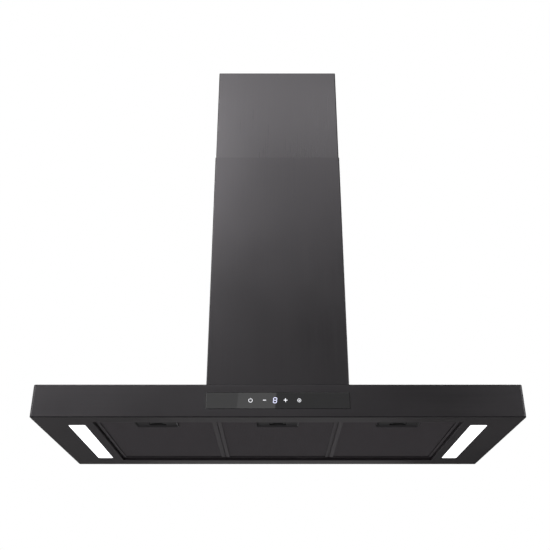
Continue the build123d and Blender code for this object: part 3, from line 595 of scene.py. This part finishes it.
def pressed_cup(low, high):
    """A mesh maker for a shallow cup with sloping sides and a deep square pocket."""
    middle = (low.x + high.x) / 2
    floor_z = low.z + CUP_DEPTH
    pocket_y = (low.y + CUP_WALL, high.y - POCKET_REAR_GAP)

    def cup_loop(side, rear, front, z, radius):
        corner_low = Vector((low.x + side, low.y + front, z))
        corner_high = Vector((high.x - side, high.y - rear, z))
        return [(x, y, z) for x, y in rounded_outline(corner_low, corner_high, 0.0, radius)]

    def pocket_loop(grow, z):
        corner_low = Vector((middle - POCKET_HALF_WIDTH - grow, pocket_y[0] - grow * 0.5, z))
        corner_high = Vector((middle + POCKET_HALF_WIDTH + grow, pocket_y[1] + grow, z))
        return [(x, y, z) for x, y in rounded_outline(corner_low, corner_high, 0.0, 1.5 * MM)]

    def make(shape):
        loops = [
            pocket_loop(0.0, high.z - CUP_WALL),
            pocket_loop(0.0, floor_z + 0.3 * MM),
            pocket_loop(0.3 * MM, floor_z),
            cup_loop(4.0 * MM, 4.6 * MM, 1.6 * MM, floor_z, 2.0 * MM),
            cup_loop(3.2 * MM, 3.8 * MM, 1.4 * MM, floor_z - 0.4 * MM, 2.2 * MM),
            cup_loop(1.2 * MM, 1.2 * MM, 1.0 * MM, low.z + 0.3 * MM, 3.0 * MM),
            cup_loop(0.8 * MM, 0.8 * MM, 0.8 * MM, low.z, 3.2 * MM),
            cup_loop(0.0, 0.0, 0.0, low.z, 3.5 * MM),
            cup_loop(0.0, 0.0, 0.0, low.z + 1.0 * MM, 3.5 * MM),
            cup_loop(2.8 * MM, 3.0 * MM, 0.4 * MM, floor_z + CUP_WALL, 2.5 * MM),
            pocket_loop(CUP_WALL, floor_z + CUP_WALL),
            pocket_loop(CUP_WALL, high.z),
        ]
        rings = [[shape.verts.new(point) for point in loop] for loop in loops]
        count = len(rings[0])
        for ring, nearby in zip(rings, rings[1:]):
            for index in range(count):
                after = (index + 1) % count
                shape.faces.new((ring[index], ring[after], nearby[after], nearby[index]))
        shape.faces.new(rings[0])
        shape.faces.new(rings[-1])

    return make


def build_finger_cup(name):
    """Replace a filter's plain finger cup with a pressed one."""
    low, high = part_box("filter_handle_" + name)
    # The cup takes the darker handle steel, whose colour paints in the shade of the recess.
    cup = new_piece("finger_cup_" + name, pressed_cup(low, high), "filter_" + name, "handle_skin")
    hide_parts("filter_handle_" + name)


def build_filter(name):
    """Replace a filter's plain sheets with an expanded sheet over a flat core, and press its cup."""
    mesh_low, mesh_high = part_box("filter_mesh_" + name)
    cup_low, cup_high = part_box("filter_handle_" + name)
    side = FRAME_GRIP - MESH_TUCK
    low = Vector((mesh_low.x + side, mesh_low.y + FRONT_COVER - MESH_TUCK, mesh_low.z))
    high = Vector((mesh_high.x - side, mesh_high.y - side, mesh_high.z))
    body = "filter_" + name
    outer_sheet = expanded_sheet(low, high, cup_low, cup_high, mesh_low.z + MESH_STEP)
    outer = new_piece("expanded_mesh_" + name, outer_sheet, body, "filter_weave")
    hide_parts("filter_mesh_" + name)

    def core(shape):
        z0, z1 = mesh_low.z + CORE_STEP, mesh_high.z
        behind_cup = cup_high.y + CUP_CLEARANCE
        left_of_cup, right_of_cup = cup_low.x - CUP_CLEARANCE, cup_high.x + CUP_CLEARANCE
        add_box(shape, (mesh_low.x, behind_cup, z0), (mesh_high.x, mesh_high.y, z1))
        add_box(shape, (mesh_low.x, mesh_low.y, z0), (left_of_cup, behind_cup, z1))
        add_box(shape, (right_of_cup, mesh_low.y, z0), (mesh_high.x, behind_cup, z1))

    new_piece("knitted_core_" + name, core, body, "filter_weave")
    build_finger_cup(name)


# ---- Latch springs ----
SPRING_WIRE = 0.7 * MM
SPRING_TURNS = 5


def coil(low, high):
    """A mesh maker for a coil spring that fills a box, with its axis along Y."""
    middle_x, middle_z = (low.x + high.x) / 2, (low.z + high.z) / 2
    radius = (high.x - low.x - SPRING_WIRE) / 2
    start, length = low.y + SPRING_WIRE / 2, high.y - low.y - SPRING_WIRE
    round_steps, wire_steps = 20, 8

    def make(shape):
        rings = []
        total = SPRING_TURNS * round_steps
        for index in range(total + 1):
            turn = 2 * math.pi * index / round_steps
            y = start + length * index / total
            ring = []
            for corner in range(wire_steps):
                angle = 2 * math.pi * corner / wire_steps
                out = radius + SPRING_WIRE / 2 * math.cos(angle)
                along = y + SPRING_WIRE / 2 * math.sin(angle)
                ring.append(shape.verts.new((
                    middle_x + out * math.cos(turn), along, middle_z + out * math.sin(turn)
                )))
            rings.append(ring)
        for ring, nearby in zip(rings, rings[1:]):
            for index in range(wire_steps):
                after = (index + 1) % wire_steps
                shape.faces.new((ring[index], ring[after], nearby[after], nearby[index]))
        shape.faces.new(rings[0])
        shape.faces.new(rings[-1])

    return make


def build_latch_spring(name):
    """Replace a latch spring with a coil on a mesh of its own."""
    low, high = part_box("latch_spring_" + name)
    spring = new_piece(
        "latch_coil_" + name, coil(low, high), "filter_" + name, "spring_steel", smooth=True
    )
    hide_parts("latch_spring_" + name)
    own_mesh(spring)


# ---- Light windows ----
GASKET_OUT = 0.95 * MM
GASKET_GAP = 0.02 * MM
WINDOW_RADIUS = 4.0 * MM
WINDOW_WIDTH = 31.6 * MM
LENS_FLANGE = 2.5 * MM


def rounded_outline(low, high, grow, radius, steps=8):
    """Points round a rectangle with rounded corners, grown on every side."""
    reach = radius + grow
    points = []
    for turn, (x, y) in enumerate(((high.x, high.y), (low.x, high.y), (low.x, low.y), (high.x, low.y))):
        centre_x = x - radius if turn in (0, 3) else x + radius
        centre_y = y - radius if turn in (0, 1) else y + radius
        for step in range(steps + 1):
            angle = math.radians(90.0 * (turn + step / steps))
            points.append((centre_x + reach * math.cos(angle), centre_y + reach * math.sin(angle)))
    return points


def band_between(shape, inner, outer, z0, z1):
    """Add a closed band between two outlines that have the same number of points."""
    rings = []
    for outline, z in ((inner, z0), (outer, z0), (outer, z1), (inner, z1)):
        rings.append([shape.verts.new((x, y, z)) for x, y in outline])
    count = len(inner)
    for index in range(count):
        after = (index + 1) % count
        for ring in range(4):
            nearby = rings[(ring + 1) % 4]
            shape.faces.new((rings[ring][index], rings[ring][after], nearby[after], nearby[index]))


def window_corners(side):
    """The lower and upper corners of one light window, from the pair's shared box."""
    low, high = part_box("led_lenses")
    y0, y1 = low.y + LENS_FLANGE, high.y - LENS_FLANGE
    x0 = low.x + LENS_FLANGE if side < 0 else high.x - LENS_FLANGE - WINDOW_WIDTH
    return Vector((x0, y0, underside)), Vector((x0 + WINDOW_WIDTH, y1, underside))


def build_gaskets():
    """A black rubber ring round each light window."""
    for name, side in (("left", -1), ("right", 1)):
        low, high = window_corners(side)
        inner = rounded_outline(low, high, GASKET_GAP, WINDOW_RADIUS)
        outer = rounded_outline(low, high, GASKET_OUT, WINDOW_RADIUS)

        def ring(shape):
            band_between(shape, inner, outer, underside + 0.05 * MM, underside + 0.9 * MM)

        new_piece("light_gasket_" + name, ring, "hood", "dark_plastic")


# ---- Stage, light and camera ----
def stage_floor():
    """A plain pale kitchen floor, as far below the hood as it is in a real room."""
    mesh = bpy.data.meshes.new("floor")
    half, z = 9.0, underside - 1.65
    corners = [(-half, -half, z), (half, -half, z), (half, half, z), (-half, half, z)]
    mesh.from_pydata(corners, [], [(0, 1, 2, 3)])
    floor = bpy.data.objects.new("floor", mesh)
    bpy.context.scene.collection.objects.link(floor)
    pale = Surface("floor")
    pale.set(Base_Color=(0.56, 0.56, 0.56, 1.0), Roughness=0.9)
    even = pale.node("ShaderNodeEmission")
    even.inputs["Color"].default_value = (0.78, 0.78, 0.79, 1.0)
    path = pale.node("ShaderNodeLightPath")
    mix = pale.node("ShaderNodeMixShader")
    pale.link(path.outputs["Is Camera Ray"], mix.inputs["Fac"])
    pale.link(pale.shader.outputs["BSDF"], mix.inputs[1])
    pale.link(even.outputs["Emission"], mix.inputs[2])
    pale.link(mix.outputs["Shader"], pale.tree.nodes["Material Output"].inputs["Surface"])
    mesh.materials.append(pale.material)


def studio_world():
    """White behind the object, and a dim even grey for everything that it lights."""
    world = bpy.data.worlds.new("studio")
    bpy.context.scene.world = world
    world.use_nodes = True
    tree = world.node_tree
    tree.nodes.clear()
    seen = tree.nodes.new("ShaderNodeBackground")
    seen.inputs["Color"].default_value = (1.0, 1.0, 1.0, 1.0)
    fill = tree.nodes.new("ShaderNodeBackground")
    fill.inputs["Color"].default_value = (0.95, 0.93, 0.96, 1.0)
    fill.inputs["Strength"].default_value = 0.02
    path = tree.nodes.new("ShaderNodeLightPath")
    mix = tree.nodes.new("ShaderNodeMixShader")
    output = tree.nodes.new("ShaderNodeOutputWorld")
    tree.links.new(path.outputs["Is Camera Ray"], mix.inputs["Fac"])
    tree.links.new(fill.outputs["Background"], mix.inputs[1])
    tree.links.new(seen.outputs["Background"], mix.inputs[2])
    tree.links.new(mix.outputs["Shader"], output.inputs["Surface"])


def panel_light(name, place, target, size, power):
    """A rectangular light that isn't seen directly, aimed at a point."""
    data = bpy.data.lights.new(name, "AREA")
    data.shape = "RECTANGLE"
    data.size, data.size_y = size
    data.energy = power
    light = bpy.data.objects.new(name, data)
    bpy.context.scene.collection.objects.link(light)
    light.location = place
    aim = Vector(target) - Vector(place)
    light.rotation_euler = aim.to_track_quat("-Z", "Y").to_euler()
    light.visible_camera = False
    return light


def light_round(name, turn, rise, size, power, distance=3.6):
    """A panel light round the object: degrees to the right of the front, and degrees up."""
    middle = Vector((0.0, -0.15, -0.55))
    turn, rise = math.radians(turn), math.radians(rise)
    away = Vector((math.sin(turn) * math.cos(rise), -math.cos(turn) * math.cos(rise), math.sin(rise)))
    return panel_light(name, middle + distance * away, middle, size, power)


CARD_Z = 0.2
CARD_HEIGHT = 0.4
CARD_TILT = -5.0


def glass_card(name, y, width, power):
    """A tilted card to the left of the middle, whose reflection ends across the control glass."""
    card = panel_light(
        name, (-width / 2, y, CARD_Z), (-width / 2, 0.0, CARD_Z), (width, CARD_HEIGHT), power
    )
    card.rotation_euler.rotate_axis("Z", math.radians(CARD_TILT))


def studio_lights():
    """A high key on the front left, softer panels all round, and cards for the glass to reflect."""
    light_round("key", -25, 37, (1.1, 1.1), 22.0)
    light_round("high_front", 0, 50, (1.4, 1.1), 5.5)
    light_round("mid_right", 14, 38, (1.1, 1.1), 3.2)
    light_round("mid_left", -25, 31, (1.1, 1.1), 1.8)
    light_round("front_left", -44, 15, (1.1, 1.1), 16.0)
    light_round("front_right", 50, 13, (1.1, 1.1), 16.0)
    light_round("low_left", -50, -20, (1.1, 1.1), 13.0)
    light_round("low_right", 50, -20, (1.1, 1.1), 1.0)
    light_round("side_left", -80, -8, (1.1, 2.0), 16.0)
    light_round("under_left", -140, -17, (1.1, 0.8), 12.0)
    light_round("side_right", 80, -10, (1.1, 1.1), 5.0)
    light_round("back_low", 180, -13, (1.6, 0.8), 0.8)
    light_round("back_left", -143, 18, (2.0, 2.0), 24.0)
    light_round("back_right", 143, 18, (2.0, 2.0), 24.0)
    light_round("back_key", 160, 30, (1.4, 1.4), 26.0)
    light_round("back_mid", -165, 8, (1.4, 1.4), 12.0)
    light_round("left_high", -98, 22, (1.6, 1.6), 18.0)
    light_round("right_high", 98, 22, (1.6, 1.6), 22.0)
    glass_card("glass_card_wide", -3.6, 0.54, 0.24)
    glass_card("glass_card_near", -3.55, 0.24, 0.08)
    panel_light("glass_fill", (0.0, -3.65, CARD_Z), (0.0, 0.0, CARD_Z), (1.2, CARD_HEIGHT), 0.62)


def photo_camera():
    """A camera below the hood and in front of it, looking up."""
    data = bpy.data.cameras.new("camera")
    data.lens = 50.0
    data.sensor_width = 36.0
    camera = bpy.data.objects.new("camera", data)
    bpy.context.scene.collection.objects.link(camera)
    distance = 1.3536
    drop = 0.372
    aside = -0.0053
    pitch = 25.92
    camera.location = (aside, front_y - distance, underside - drop)
    camera.rotation_euler = (math.radians(90.0 + pitch), 0.0, 0.0)
    bpy.context.scene.camera = camera


photo_camera()
stage_floor()
studio_world()
studio_lights()
bpy.context.scene.view_settings.view_transform = "Standard"

finish_frame_nodes()
build_control_panel()
for filter_name in ("left", "middle", "right"):
    build_filter(filter_name)
    build_latch_spring(filter_name)
build_gaskets()
